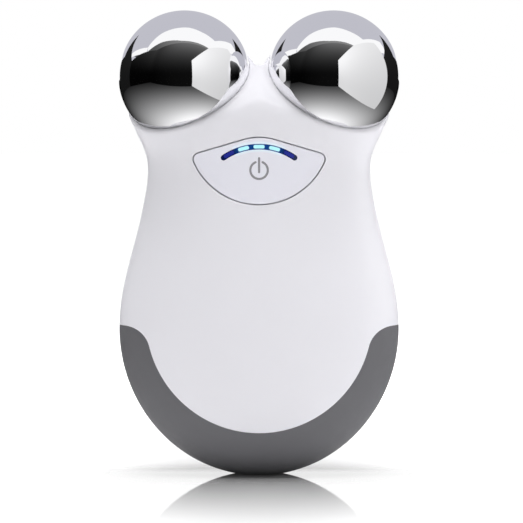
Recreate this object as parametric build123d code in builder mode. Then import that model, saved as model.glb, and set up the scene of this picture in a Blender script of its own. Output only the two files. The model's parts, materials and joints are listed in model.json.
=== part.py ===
from build123d import *
import os
from math import acos, copysign, cos, pi, radians, sin, sqrt

os.makedirs("parts", exist_ok=True)

# Frame: X is the width, the button side faces -Y, Z is up.
# The origin is the middle of the foot that the device stands on. All sizes are in millimetres.

# ---- body form -------------------------------------------------------------------------------
belly_width = 64.9
belly_depth = 39.0
belly_height = 33.8
foot_sink = 0.4
bottom_roundness = 2.0
bottom_squareness = 3.0
waist_width = 51.7
waist_front = 13.6
waist_rear = 14.0
waist_height = 72.0
head_width = 58.8
head_front = 14.6
head_rear = 15.5
head_height = 83.0
crest_height = 94.2
crest_angle = 70.0
low_squareness = 2.1
high_squareness = 2.6
wall = 2.0
stations_bottom = 6
stations_side = 5
stations_neck = 4
stations_crest = 4
outline_points = 32

# ---- sphere heads ----------------------------------------------------------------------------
sphere_diameter = 30.6
sphere_spacing = 34.5
sphere_height = 92.1
sphere_forward = 2.0
sphere_wall = 1.2
lean_forward = 35.1
lean_outward = 24.0
rim_drop = 2.4
rim_lip = 0.8
cup_floor = 2.0
seat_clearance = 0.1
stem_diameter = 3.0
stem_clearance = 0.1
stem_tail = 0.8
seal_thickness = 0.5
seal_diameter = 10.0
terminal_thickness = 0.4
terminal_diameter = 5.6
terminal_tail_width = 1.6
terminal_tail_length = 5.5
nut_across_flats = 5.5
nut_thickness = 2.0

# ---- soft grip at the base -------------------------------------------------------------------
grip_thickness = 1.0
grip_top_height = 34.7
grip_arc_radius = 26.0
grip_dip_height = 9.4
grip_shoulder_radius = 6.0

# ---- power button ----------------------------------------------------------------------------
panel_half_width = 15.66
panel_tip_height = 74.1
panel_bottom_height = 62.7
panel_apex_height = 78.7
panel_apex_radius = 12.5
panel_tip_radius = 1.6
button_gap = 0.15
button_travel = 0.35
flange_width = 0.9
flange_thickness = 0.8
flange_clearance = 0.1
window_radius = 14.3
window_span = 69.4
window_width = 1.3
window_top_height = 76.0
window_depth = 0.9
segment_count = 5
segment_pitch = 14.4
segment_length = 2.6
segment_width = 0.9
symbol_height = 70.6
symbol_radius = 2.0
symbol_stroke = 0.5
symbol_gap_angle = 48.0
symbol_bar_top = 3.0
symbol_bar_bottom = 0.7
symbol_depth = 0.15

# ---- board and switch ------------------------------------------------------------------------
board_front = 7.2
board_thickness = 1.2
board_width = 26.0
board_bottom = 44.5
board_shoulder = 73.0
board_tab_width = 19.0
board_top = 77.5
switch_height = 68.2
switch_size = 4.6
switch_thickness = 1.8
plunger_diameter = 2.2
plunger_clearance = 0.05
plunger_stroke_room = 0.2
plunger_engagement = 0.5
plunger_reach = 0.8
stud_diameter = 2.6
return_pad_diameter = 2.4
return_pad_spacing = 18.0
return_pad_height = 66.5
return_pad_room = 0.1
led_length = 1.6
led_width = 0.8
led_thickness = 0.7
pipe_room = 0.15
baffle_depth = 1.0
baffle_wall = 0.7
baffle_clearance = 0.2

# ---- chassis and fastenings ------------------------------------------------------------------
chassis_thickness = 1.5
chassis_clearance = 0.2
chassis_bottom = 11.5
chassis_top = 73.0
lead_slot_width = 11.0
lead_slot_height = 3.4
notch_width = 8.0
notch_top = 18.0
standoff_diameter = 4.0
standoff_low = (10.5, 47.5)
standoff_high = (11.0, 71.0)
board_screw_diameter = 1.5
board_screw_length = 5.0
board_screw_head = 3.0
board_screw_head_height = 1.2
shell_screw_low = (22.0, 16.5)
shell_screw_high = (17.5, 60.0)
shell_boss_diameter = 5.0
shell_screw_diameter = 2.0
shell_screw_clearance = 0.15
shell_screw_head = 3.8
shell_screw_head_height = 1.4
shell_screw_seat = 7.0
shell_screw_reach = 7.0
plug_clearance = 0.05
bore_allowance = 0.05

# ---- components on the board -----------------------------------------------------------------
chip_size = 6.0
chip_thickness = 1.0
chip_height = 68.2
inductor_diameter = 6.2
inductor_thickness = 3.0
inductor_place = (-6.4, 61.0)
buzzer_diameter = 8.4
buzzer_thickness = 3.2
buzzer_port = 1.4
buzzer_place = (6.0, 61.0)
capacitor_count = 4
capacitor_pitch = 3.0
capacitor_size = (1.6, 3.2, 1.6)
capacitor_height = 49.4
header_size = (6.0, 3.2, 3.2)
header_height = 54.5

# ---- battery ---------------------------------------------------------------------------------
battery_width = 30.0
battery_length = 31.0
battery_thickness = 8.0
battery_bottom = 19.5
battery_edge_radius = 2.0
battery_pad_thickness = 0.5
battery_pad_margin = 2.0
cradle_wall = 1.2
cradle_depth = 3.5
cradle_clearance = 0.2
lead_diameter = 1.1
battery_lead_spread = 3.0
lead_bend = 0.9
sphere_lead_height = 74.2
sphere_lead_dip = 0.2
sphere_lead_run = 3.0
sphere_lead_end = 8.2
charge_lead_run = 3.6
charge_lead_end = 46.2

# ---- charging socket -------------------------------------------------------------------------
socket_height = 14.0
socket_face = 16.8
socket_flange_diameter = 8.0
socket_flange_thickness = 0.8
socket_diameter = 6.4
socket_length = 9.5
socket_bore = 3.6
socket_bore_depth = 8.3
socket_pin_diameter = 1.1
socket_pin_setback = 1.3
socket_pad_diameter = 11.0
socket_pad_thickness = 2.6
socket_clearance = 0.1
charge_lead_spread = 1.3

# ---- worked out from the above ---------------------------------------------------------------
far = 2 * belly_depth
sphere_radius = sphere_diameter / 2
sides = (-1, 1)
rim_radius = sqrt(sphere_radius**2 - rim_drop**2)
lip_radius = rim_radius + rim_lip
cup_reach = sphere_radius + cup_floor
cup_sink = (cup_reach**2 - rim_drop**2 - lip_radius**2) / (2 * (cup_reach - rim_drop))
cup_radius = cup_reach - cup_sink
terminal_reach = cup_reach + terminal_thickness
stem_reach = terminal_reach + nut_thickness + stem_tail
button_thickness = wall + flange_clearance + flange_thickness
board_rear = board_front - board_thickness
window_centre_height = window_top_height - window_radius
switch_face = board_front + switch_thickness
stud_face = switch_face + plunger_reach
plunger_root = switch_face - plunger_engagement
pipe_end = board_front + led_thickness + button_travel + pipe_room
battery_front = battery_pad_thickness
battery_centre = battery_bottom + battery_length / 2
battery_top = battery_bottom + battery_length


def ease(share):
    """Smooth step from 0 to 1."""
    share = min(max(share, 0), 1)
    return share * share * (3 - 2 * share)


def bottom_share(height, inset, squareness):
    """How much of its full size the rounded bottom has at a height."""
    drop = (belly_height - height) / (belly_height + foot_sink - inset)
    return (1 - drop**squareness) ** (1 / squareness)


def reach_at(height, inset, belly, waist, head, squareness):
    """Distance of the body's skin from its middle plane, below the crest."""
    if height <= belly_height:
        return (belly - inset) * bottom_share(height, inset, squareness)
    if height <= waist_height:
        turn = pi * (height - belly_height) / (waist_height - belly_height)
        return waist + (belly - waist) * (1 + cos(turn)) / 2 - inset
    return waist + (head - waist) * ease((height - waist_height) / (head_height - waist_height)) - inset


def squareness_at(height):
    return low_squareness + (high_squareness - low_squareness) * ease(height / waist_height)


def half_width_at(height, inset):
    return reach_at(height, inset, belly_width / 2, waist_width / 2, head_width / 2, bottom_roundness)


def front_at(height, inset):
    return reach_at(height, inset, belly_depth / 2, waist_front, head_front, bottom_squareness)


def front_skin(across, height, inset):
    """How far the front skin, shrunk by the inset, stands before the middle plane."""
    squareness = squareness_at(height)
    share = 1 - (abs(across) / half_width_at(height, inset)) ** squareness
    return front_at(height, inset) * share ** (1 / squareness)


def section_points(height, share, inset):
    """Points of one level outline of the body, as a squared ellipse with its own front and rear depth."""
    squareness = squareness_at(height)
    half = share * half_width_at(height, inset)
    front = share * front_at(height, inset)
    rear = share * reach_at(height, inset, belly_depth / 2, waist_rear, head_rear, bottom_squareness)
    points = []
    for number in range(outline_points):
        angle = 2 * pi * number / outline_points
        across = copysign(abs(cos(angle)) ** (2 / squareness), cos(angle))
        along = copysign(abs(sin(angle)) ** (2 / squareness), sin(angle))
        points.append((half * across, (rear if along > 0 else front) * along))
    return points


def body_stations(inset):
    """Heights of the outlines, each with the height that sets its size and its share of that size."""
    reach = belly_height + foot_sink - inset
    first = acos((belly_height - inset) / reach)
    stations = []
    for number in range(stations_bottom):
        angle = first + (pi / 2 - first) * number / stations_bottom
        height = belly_height - reach * cos(angle)
        stations.append((height, height, 1))
    for number in range(stations_side):
        height = belly_height + (waist_height - belly_height) * number / stations_side
        stations.append((height, height, 1))
    for number in range(stations_neck):
        height = waist_height + (head_height - waist_height) * number / stations_neck
        stations.append((height, height, 1))
    crest_rise = (crest_height - inset - head_height) / sin(radians(crest_angle))
    for number in range(stations_crest + 1):
        angle = radians(crest_angle) * number / stations_crest
        stations.append((head_height + crest_rise * sin(angle), head_height, cos(angle)))
    return stations


def body_form(inset=0):
    """The closed body, without its sphere cups, shrunk by the inset all round."""
    with BuildPart() as form:
        for height, size_height, share in body_stations(inset):
            with BuildSketch(Plane.XY.offset(height)):
                with BuildLine():
                    Spline(*section_points(size_height, share, inset), periodic=True)
                make_face()
        loft()
    return form.part


def sphere_centre(side):
    return Vector(side * sphere_spacing / 2, -sphere_forward, sphere_height)


def cup_axis(side):
    """Direction in which a cup opens."""
    forward = radians(lean_forward)
    outward = radians(lean_outward)
    return Vector(side * cos(forward) * sin(outward), -sin(forward), cos(forward) * cos(outward))


def cup_plane(side, depth):
    """Plane square to a cup's axis, a depth below the sphere's centre, with its X pointing back and up."""
    axis = cup_axis(side)
    back = Vector(0, axis.Z, -axis.Y).normalized()
    return Plane(origin=sphere_centre(side) - axis * depth, x_dir=back, z_dir=axis)


def front_plane(distance):
    """Plane facing the front, a distance in front of the middle plane."""
    return Plane.XZ.offset(distance)


def rear_plane(distance):
    """Plane with the same directions, a distance behind the middle plane."""
    return Plane.XZ.offset(-distance)


def both_sides(place):
    """The place and its mirror image."""
    return [(side * place[0], place[1]) for side in sides]


def save(part, name):
    part.label = name
    export_step(part, f"parts/{name}.step")


outer_form = body_form()
inner_form = body_form(wall)
half_wall_form = body_form(wall / 2)
grip_seat_form = body_form(grip_thickness)
button_back_form = body_form(button_thickness)
flange_front_form = body_form(wall + flange_clearance)
window_back_form = body_form(window_depth)
symbol_back_form = body_form(symbol_depth)
chassis_form = body_form(wall + chassis_clearance)


# ---- profiles in the front view --------------------------------------------------------------
def panel_outline(growth):
    """Outline of the button panel, grown by a distance."""
    tip = (panel_half_width, panel_tip_height)
    with BuildSketch() as outline:
        with BuildLine():
            ThreePointArc((-tip[0], tip[1]), (0, panel_bottom_height), tip)
            Polyline(tip, (0, panel_apex_height), (-tip[0], tip[1]))
        make_face()
        apex = outline.vertices().sort_by(Axis.Y)[-1]
        fillet(apex, panel_apex_radius)
        tips = outline.vertices().group_by(Axis.X)
        fillet(tips[0] + tips[-1], panel_tip_radius)
        offset(amount=growth, mode=Mode.REPLACE)
    return outline.sketch


window_arc = CenterArc((0, window_centre_height), window_radius, 90 - window_span / 2, window_span)
symbol_arc = CenterArc((0, symbol_height), symbol_radius, 90 + symbol_gap_angle / 2, 360 - symbol_gap_angle)


def segment_angles():
    return [90 + segment_pitch * (number - (segment_count - 1) / 2) for number in range(segment_count)]


def segment_locations():
    """Place and turn of each light segment along the window."""
    places = []
    for angle in segment_angles():
        across = window_radius * cos(radians(angle))
        up = window_centre_height + window_radius * sin(radians(angle))
        places.append(Location((across, up, 0), (0, 0, angle - 90)))
    return places


with BuildPart() as panel_opening:
    with BuildSketch(front_plane(board_front)) as opening_profile:
        add(panel_outline(button_gap))
    extrude(amount=far)

with BuildPart() as panel_prism:
    with BuildSketch(front_plane(board_front)):
        add(panel_outline(-button_gap))
    extrude(amount=far)

with BuildPart() as flange_prism:
    with BuildSketch(front_plane(board_front)):
        add(panel_outline(flange_width))
    extrude(amount=far)

with BuildPart() as window_prism:
    with BuildSketch(front_plane(board_front)):
        SlotArc(window_arc, window_width)
    extrude(amount=far)

with BuildPart() as grip_prism:
    with BuildSketch(Plane.XZ) as grip_profile:
        with Locations((0, grip_top_height / 2 - wall)):
            Rectangle(2 * belly_width, grip_top_height + 2 * wall)
        with Locations((0, grip_dip_height + grip_arc_radius)):
            Circle(grip_arc_radius, mode=Mode.SUBTRACT)
        shoulders = grip_profile.vertices().filter_by(lambda corner: abs(corner.X) < belly_width / 2)
        fillet(shoulders, grip_shoulder_radius)
    extrude(amount=far, both=True)


# ---- shells and grip -------------------------------------------------------------------------
with BuildPart() as casing:
    add(outer_form)
    for side in sides:
        with Locations(cup_plane(side, cup_sink)):
            Sphere(cup_radius)
    for side in sides:
        split(bisect_by=cup_plane(side, rim_drop), keep=Keep.BOTTOM)

with BuildPart() as cavity:
    add(inner_form)
    for side in sides:
        with Locations(cup_plane(side, cup_sink)):
            Sphere(cup_radius, mode=Mode.SUBTRACT)

with BuildPart() as grip_seat:
    add(grip_prism.part)
    add(grip_seat_form, mode=Mode.SUBTRACT)

with BuildPart() as base_grip:
    add(outer_form)
    add(grip_seat.part, mode=Mode.INTERSECT)
    with BuildSketch(rear_plane(socket_face - socket_flange_thickness)):
        with Locations((0, socket_height)):
            Circle(socket_flange_diameter / 2 + socket_clearance)
    extrude(amount=-far, mode=Mode.SUBTRACT)
save(base_grip.part, "base_grip")

with BuildPart() as hollow_casing:
    add(casing.part)
    add(cavity.part, mode=Mode.SUBTRACT)
    add(grip_seat.part, mode=Mode.SUBTRACT)
    for side in sides:
        with Locations(cup_plane(side, 0)):
            Sphere(sphere_radius + seat_clearance, mode=Mode.SUBTRACT)
        with BuildSketch(cup_plane(side, cup_reach + cup_floor)):
            Circle(stem_diameter / 2 + stem_clearance)
        extrude(amount=sphere_radius, mode=Mode.SUBTRACT)
        with BuildSketch(cup_plane(side, sphere_radius + seal_thickness)):
            Circle(seal_diameter / 2 + seat_clearance)
        extrude(amount=sphere_radius, mode=Mode.SUBTRACT)


def shell_screw_places():
    return both_sides(shell_screw_low) + both_sides(shell_screw_high)


with BuildPart() as front_bosses:
    with BuildSketch(front_plane(chassis_thickness)):
        with Locations(*shell_screw_places()):
            Circle(shell_boss_diameter / 2)
    extrude(amount=far)
    add(half_wall_form, mode=Mode.INTERSECT)

with BuildPart() as front_shell:
    add(hollow_casing.part)
    split(bisect_by=Plane.XZ, keep=Keep.TOP)
    add(front_bosses.part)
    add(panel_opening.part, mode=Mode.SUBTRACT)
    with BuildSketch(front_plane(chassis_thickness)):
        with Locations(*shell_screw_places()):
            Circle(shell_screw_diameter / 2 + bore_allowance)
    extrude(amount=shell_screw_reach, mode=Mode.SUBTRACT)
save(front_shell.part, "front_shell")

with BuildPart() as rear_bosses:
    with BuildSketch(Plane.XZ):
        with Locations(*shell_screw_places()):
            Circle(shell_boss_diameter / 2)
    extrude(amount=-far)
    with BuildSketch(rear_plane(socket_face - socket_flange_thickness - socket_pad_thickness)):
        with Locations((0, socket_height)):
            Circle(socket_pad_diameter / 2)
    extrude(amount=-far)
    add(half_wall_form, mode=Mode.INTERSECT)

with BuildPart() as rear_shell:
    add(hollow_casing.part)
    split(bisect_by=Plane.XZ, keep=Keep.BOTTOM)
    add(rear_bosses.part)
    with BuildSketch(Plane.XZ):
        with Locations(*shell_screw_places()):
            Circle(shell_screw_diameter / 2 + shell_screw_clearance)
        with Locations((0, socket_height)):
            Circle(socket_diameter / 2 + socket_clearance)
    extrude(amount=-far, mode=Mode.SUBTRACT)
    with BuildSketch(rear_plane(shell_screw_seat)):
        with Locations(*shell_screw_places()):
            Circle(shell_screw_head / 2 + shell_screw_clearance)
    extrude(amount=-far, mode=Mode.SUBTRACT)
    with BuildSketch(rear_plane(socket_face - socket_flange_thickness)):
        with Locations((0, socket_height)):
            Circle(socket_flange_diameter / 2 + socket_clearance)
    extrude(amount=-far, mode=Mode.SUBTRACT)
save(rear_shell.part, "rear_shell")

with BuildPart() as screw_plugs:
    with BuildSketch(rear_plane(shell_screw_seat + shell_screw_head_height)):
        with Locations(*both_sides(shell_screw_high)):
            Circle(shell_screw_head / 2 + shell_screw_clearance - plug_clearance)
    extrude(amount=-far)
    add(outer_form, mode=Mode.INTERSECT)
save(screw_plugs.part, "screw_plugs")

with BuildPart() as shell_screws:
    with BuildSketch(rear_plane(shell_screw_seat)):
        with Locations(*shell_screw_places()):
            Circle(shell_screw_head / 2)
    extrude(amount=-shell_screw_head_height)
    with BuildSketch(rear_plane(shell_screw_seat)):
        with Locations(*shell_screw_places()):
            Circle(shell_screw_diameter / 2)
    extrude(amount=shell_screw_seat + shell_screw_reach)
save(shell_screws.part, "shell_screws")


# ---- spheres and their fastenings ------------------------------------------------------------
def build_sphere(side):
    """Hollow polished sphere with its stem."""
    with BuildPart() as sphere:
        with BuildSketch(cup_plane(side, stem_reach)):
            Circle(stem_diameter / 2)
        extrude(amount=stem_reach - sphere_radius + sphere_wall)
        with Locations(cup_plane(side, 0)):
            Sphere(sphere_radius)
            Sphere(sphere_radius - sphere_wall, mode=Mode.SUBTRACT)
    return sphere.part


save(build_sphere(-1), "left_sphere")
save(build_sphere(1), "right_sphere")

with BuildPart() as sphere_seals:
    for side in sides:
        with BuildSketch(cup_plane(side, sphere_radius + seal_thickness)):
            Circle(seal_diameter / 2)
            Circle(stem_diameter / 2 + stem_clearance, mode=Mode.SUBTRACT)
        extrude(amount=sphere_radius / 2)
    for side in sides:
        with Locations(cup_plane(side, 0)):
            Sphere(sphere_radius, mode=Mode.SUBTRACT)
save(sphere_seals.part, "sphere_seals")

with BuildPart() as sphere_terminals:
    for side in sides:
        with BuildSketch(cup_plane(side, terminal_reach)):
            Circle(terminal_diameter / 2)
            with Locations((-terminal_tail_length / 2, 0)):
                Rectangle(terminal_tail_length, terminal_tail_width)
            Circle(stem_diameter / 2 + stem_clearance, mode=Mode.SUBTRACT)
        extrude(amount=terminal_thickness)
save(sphere_terminals.part, "sphere_terminals")

with BuildPart() as sphere_nuts:
    for side in sides:
        with BuildSketch(cup_plane(side, terminal_reach + nut_thickness)):
            RegularPolygon(nut_across_flats / 2, 6, major_radius=False)
            Circle(stem_diameter / 2, mode=Mode.SUBTRACT)
        extrude(amount=nut_thickness)
save(sphere_nuts.part, "sphere_nuts")


# ---- power button ----------------------------------------------------------------------------
segment_opening = segment_locations()

with BuildPart() as window_holes:
    with BuildSketch(front_plane(board_front)):
        with Locations(*segment_opening):
            Rectangle(segment_length, segment_width)
    extrude(amount=far)

with BuildPart() as symbol_prism:
    with BuildSketch(front_plane(board_front)):
        SlotArc(symbol_arc, symbol_stroke)
        with Locations((0, symbol_height + (symbol_bar_top - symbol_bar_bottom) / 2)):
            SlotOverall(symbol_bar_top + symbol_bar_bottom, symbol_stroke, rotation=90)
    extrude(amount=far)

with BuildPart() as power_symbol:
    add(outer_form)
    add(symbol_prism.part, mode=Mode.INTERSECT)
    add(symbol_back_form, mode=Mode.SUBTRACT)
save(power_symbol.part, "power_symbol")

with BuildPart() as button_flange:
    add(flange_front_form)
    add(flange_prism.part, mode=Mode.INTERSECT)

with BuildPart() as button_cap:
    add(outer_form)
    add(panel_prism.part, mode=Mode.INTERSECT)
    add(button_flange.part)
    add(button_back_form, mode=Mode.SUBTRACT)
    with BuildSketch(front_plane(stud_face)):
        with Locations((0, switch_height)):
            Circle(stud_diameter / 2)
    extrude(amount=front_skin(0, switch_height, wall) - stud_face)
    add(window_prism.part, mode=Mode.SUBTRACT)
    add(power_symbol.part, mode=Mode.SUBTRACT)
save(button_cap.part, "button_cap")

with BuildPart() as indicator_window:
    add(outer_form)
    add(window_prism.part, mode=Mode.INTERSECT)
    add(window_back_form, mode=Mode.SUBTRACT)
    add(window_holes.part, mode=Mode.SUBTRACT)
save(indicator_window.part, "indicator_window")

with BuildPart() as light_guide:
    add(window_back_form)
    add(window_prism.part, mode=Mode.INTERSECT)
    add(button_back_form, mode=Mode.SUBTRACT)
    with BuildSketch(front_plane(pipe_end)):
        with Locations(*segment_opening):
            Rectangle(segment_length, segment_width)
    extrude(amount=far)
    add(outer_form, mode=Mode.INTERSECT)
save(light_guide.part, "light_guide")

# The pads stop short of the pressed button where its back slopes nearest, at their upper outer edge.
pad_edge = (return_pad_spacing + return_pad_diameter) / 2
pad_top = return_pad_height + return_pad_diameter / 2
pad_reach = front_skin(pad_edge, pad_top, button_thickness) - button_travel - return_pad_room

with BuildPart() as return_pads:
    with BuildSketch(front_plane(board_front)):
        with Locations(*both_sides((return_pad_spacing / 2, return_pad_height))):
            Circle(return_pad_diameter / 2)
    extrude(amount=pad_reach - board_front)
save(return_pads.part, "return_pads")


# ---- board, switch and lights ----------------------------------------------------------------
def standoff_places():
    return both_sides(standoff_low) + both_sides(standoff_high)


with BuildPart() as main_board:
    with BuildSketch(front_plane(board_rear)):
        with Locations((0, (board_bottom + board_shoulder) / 2)):
            Rectangle(board_width, board_shoulder - board_bottom)
        with Locations((0, (board_bottom + board_top) / 2)):
            Rectangle(board_tab_width, board_top - board_bottom)
        with Locations(*standoff_places()):
            Circle(board_screw_diameter / 2 + bore_allowance, mode=Mode.SUBTRACT)
    extrude(amount=board_thickness)
save(main_board.part, "main_board")

with BuildPart() as board_screws:
    with BuildSketch(front_plane(board_front)):
        with Locations(*standoff_places()):
            Circle(board_screw_head / 2)
    extrude(amount=board_screw_head_height)
    with BuildSketch(front_plane(board_front)):
        with Locations(*standoff_places()):
            Circle(board_screw_diameter / 2)
    extrude(amount=-board_screw_length)
save(board_screws.part, "board_screws")

with BuildPart() as switch_body:
    with BuildSketch(front_plane(board_front)):
        with Locations((0, switch_height)):
            Rectangle(switch_size, switch_size)
    extrude(amount=switch_thickness)
    with BuildSketch(front_plane(plunger_root - button_travel - plunger_stroke_room)):
        with Locations((0, switch_height)):
            Circle(plunger_diameter / 2 + plunger_clearance)
    extrude(amount=switch_thickness, mode=Mode.SUBTRACT)
save(switch_body.part, "switch_body")

with BuildPart() as switch_plunger:
    with BuildSketch(front_plane(plunger_root)):
        with Locations((0, switch_height)):
            Circle(plunger_diameter / 2)
    extrude(amount=stud_face - plunger_root)
save(switch_plunger.part, "switch_plunger")

with BuildPart() as status_leds:
    with BuildSketch(front_plane(board_front)):
        with Locations(*segment_opening):
            Rectangle(led_length, led_width)
    extrude(amount=led_thickness)
save(status_leds.part, "status_leds")

with BuildPart() as light_baffle:
    with BuildSketch(front_plane(board_front)):
        SlotArc(window_arc, window_width + 2 * baffle_wall)
        with Locations(*segment_opening):
            Rectangle(segment_length + 2 * baffle_clearance, segment_width + 2 * baffle_clearance,
                      mode=Mode.SUBTRACT)
    extrude(amount=baffle_depth)
save(light_baffle.part, "light_baffle")


# ---- components behind the board -------------------------------------------------------------
def rear_component(width, height, thickness, place):
    """Rectangular component on the board's rear face."""
    with BuildPart() as component:
        with BuildSketch(front_plane(board_rear)):
            with Locations(place):
                Rectangle(width, height)
        extrude(amount=-thickness)
    return component.part


save(rear_component(chip_size, chip_size, chip_thickness, (0, chip_height)), "controller_chip")
save(rear_component(header_size[0], header_size[1], header_size[2], (0, header_height)), "battery_header")

with BuildPart() as boost_inductor:
    with BuildSketch(front_plane(board_rear)):
        with Locations(inductor_place):
            Circle(inductor_diameter / 2)
    extrude(amount=-inductor_thickness)
save(boost_inductor.part, "boost_inductor")

with BuildPart() as buzzer:
    with BuildSketch(front_plane(board_rear)):
        with Locations(buzzer_place):
            Circle(buzzer_diameter / 2)
    extrude(amount=-buzzer_thickness)
    with BuildSketch(front_plane(board_rear - buzzer_thickness)):
        with Locations(buzzer_place):
            Circle(buzzer_port / 2)
    extrude(amount=buzzer_thickness / 2, mode=Mode.SUBTRACT)
save(buzzer.part, "buzzer")

with BuildPart() as capacitors:
    with BuildSketch(front_plane(board_rear)):
        with Locations((0, capacitor_height)):
            with GridLocations(capacitor_pitch, 0, capacitor_count, 1):
                Rectangle(capacitor_size[0], capacitor_size[1])
    extrude(amount=-capacitor_size[2])
save(capacitors.part, "capacitors")

# ---- chassis ---------------------------------------------------------------------------------
with BuildPart() as inner_chassis:
    with BuildSketch(Plane.XZ):
        with Locations((0, (chassis_bottom + chassis_top) / 2)):
            Rectangle(belly_width, chassis_top - chassis_bottom)
        with Locations((0, (chassis_bottom + notch_top) / 2)):
            Rectangle(notch_width, notch_top - chassis_bottom, mode=Mode.SUBTRACT)
        with Locations((0, header_height)):
            Rectangle(lead_slot_width, lead_slot_height, mode=Mode.SUBTRACT)
        with Locations(*shell_screw_places()):
            Circle(shell_screw_diameter / 2 + shell_screw_clearance, mode=Mode.SUBTRACT)
    extrude(amount=chassis_thickness)
    with BuildSketch(front_plane(chassis_thickness)):
        with Locations(*standoff_places()):
            Circle(standoff_diameter / 2)
    extrude(amount=board_rear - chassis_thickness)
    with BuildSketch(Plane.XZ):
        with Locations((0, battery_centre)):
            Rectangle(battery_width + 2 * (cradle_clearance + cradle_wall),
                      battery_length + 2 * (cradle_clearance + cradle_wall))
            Rectangle(battery_width + 2 * cradle_clearance, battery_length + 2 * cradle_clearance,
                      mode=Mode.SUBTRACT)
    extrude(amount=-cradle_depth)
    with BuildSketch(front_plane(board_rear)):
        with Locations(*standoff_places()):
            Circle(board_screw_diameter / 2 + bore_allowance)
    extrude(amount=chassis_thickness - board_rear, mode=Mode.SUBTRACT)
    add(chassis_form, mode=Mode.INTERSECT)
save(inner_chassis.part, "inner_chassis")

# ---- battery ---------------------------------------------------------------------------------
with BuildPart() as battery_cell:
    with BuildSketch(rear_plane(battery_front)):
        with Locations((0, battery_centre)):
            Rectangle(battery_width, battery_length)
    extrude(amount=-battery_thickness)
    fillet(battery_cell.edges().filter_by(Axis.Z), battery_edge_radius)
save(battery_cell.part, "battery_cell")

with BuildPart() as battery_pad:
    with BuildSketch(Plane.XZ):
        with Locations((0, battery_centre)):
            Rectangle(battery_width - 2 * battery_pad_margin, battery_length - 2 * battery_pad_margin)
    extrude(amount=-battery_pad_thickness)
save(battery_pad.part, "battery_pad")

# ---- charging socket -------------------------------------------------------------------------
with BuildPart() as charging_socket:
    with BuildSketch(rear_plane(socket_face)):
        with Locations((0, socket_height)):
            Circle(socket_flange_diameter / 2)
    extrude(amount=socket_flange_thickness)
    with BuildSketch(rear_plane(socket_face)):
        with Locations((0, socket_height)):
            Circle(socket_diameter / 2)
    extrude(amount=socket_length)
    with BuildSketch(rear_plane(socket_face)):
        with Locations((0, socket_height)):
            Circle(socket_bore / 2)
    extrude(amount=socket_bore_depth, mode=Mode.SUBTRACT)
save(charging_socket.part, "charging_socket")

with BuildPart() as socket_pin:
    with BuildSketch(rear_plane(socket_face - socket_bore_depth)):
        with Locations((0, socket_height)):
            Circle(socket_pin_diameter / 2)
    extrude(amount=socket_pin_setback - socket_bore_depth)
    tip = socket_pin.edges().group_by(Axis.Y)[-1]
    chamfer(tip, socket_pin_diameter / 4)
save(socket_pin.part, "socket_pin")


# ---- leads -----------------------------------------------------------------------------------
def lead_along(points):
    """Insulated lead with a bend of its own size at each corner."""
    with BuildPart() as lead:
        with BuildLine() as route:
            FilletPolyline(*points, radius=lead_bend)
        with BuildSketch(Plane(origin=route.line @ 0, z_dir=route.line % 0)):
            Circle(lead_diameter / 2)
        sweep()
    return lead.part


def battery_lead(side):
    across = side * battery_lead_spread / 2
    middle = battery_front + battery_thickness / 2
    return lead_along([(across, middle, battery_top), (across, middle, header_height),
                       (across, header_size[2] - board_rear, header_height)])


save(battery_lead(-1), "battery_lead_negative")
save(battery_lead(1), "battery_lead_positive")


def sphere_lead(side):
    """Lead from the end of a terminal's tail, over the chassis, to the board's rear face."""
    tail = cup_plane(side, cup_reach).from_local_coords(Vector(-terminal_tail_length, 0, 0))
    over_chassis = tail.Y * sphere_lead_dip
    return lead_along([tuple(tail), (tail.X, over_chassis, sphere_lead_height),
                       (side * sphere_lead_end, over_chassis - sphere_lead_run, sphere_lead_height),
                       (side * sphere_lead_end, -board_rear, sphere_lead_height)])


save(sphere_lead(-1), "left_sphere_lead")
save(sphere_lead(1), "right_sphere_lead")


def charge_lead(side):
    across = side * charge_lead_spread
    return lead_along([(across, socket_face - socket_length, socket_height),
                       (across, -charge_lead_run, socket_height),
                       (across, -charge_lead_run, charge_lead_end),
                       (across, -board_rear, charge_lead_end)])


with BuildPart() as charge_leads:
    for side in sides:
        add(charge_lead(side))
save(charge_leads.part, "charge_leads")
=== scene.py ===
"""Looks of the facial toning device: satin shells, soft grip, polished spheres and the lit button."""

import json
from math import cos, radians, sin, sqrt

import bpy
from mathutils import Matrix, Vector


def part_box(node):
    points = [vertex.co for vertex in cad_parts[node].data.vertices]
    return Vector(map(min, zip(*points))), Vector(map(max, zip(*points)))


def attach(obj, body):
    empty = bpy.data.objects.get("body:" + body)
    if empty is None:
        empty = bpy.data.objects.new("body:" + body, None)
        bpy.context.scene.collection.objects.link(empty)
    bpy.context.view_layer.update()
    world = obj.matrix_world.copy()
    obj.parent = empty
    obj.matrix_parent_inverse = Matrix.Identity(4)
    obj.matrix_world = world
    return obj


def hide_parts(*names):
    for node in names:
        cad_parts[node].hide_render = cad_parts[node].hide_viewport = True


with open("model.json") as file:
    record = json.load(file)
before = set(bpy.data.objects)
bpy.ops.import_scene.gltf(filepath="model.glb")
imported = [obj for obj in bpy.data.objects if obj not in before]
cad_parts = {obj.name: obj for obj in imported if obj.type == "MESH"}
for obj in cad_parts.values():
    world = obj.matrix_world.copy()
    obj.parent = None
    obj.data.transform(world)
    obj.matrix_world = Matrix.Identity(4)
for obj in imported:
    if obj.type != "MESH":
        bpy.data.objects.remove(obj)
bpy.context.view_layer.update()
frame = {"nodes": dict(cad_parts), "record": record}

# ---- sizes, in metres ------------------------------------------------------------------------
MM = 0.001
SIDES = (-1, 1)
BACK, UP = Vector((0, 1, 0)), Vector((0, 0, 1))
FAR = 80 * MM  # farther out than any point of the device's width or depth

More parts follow.
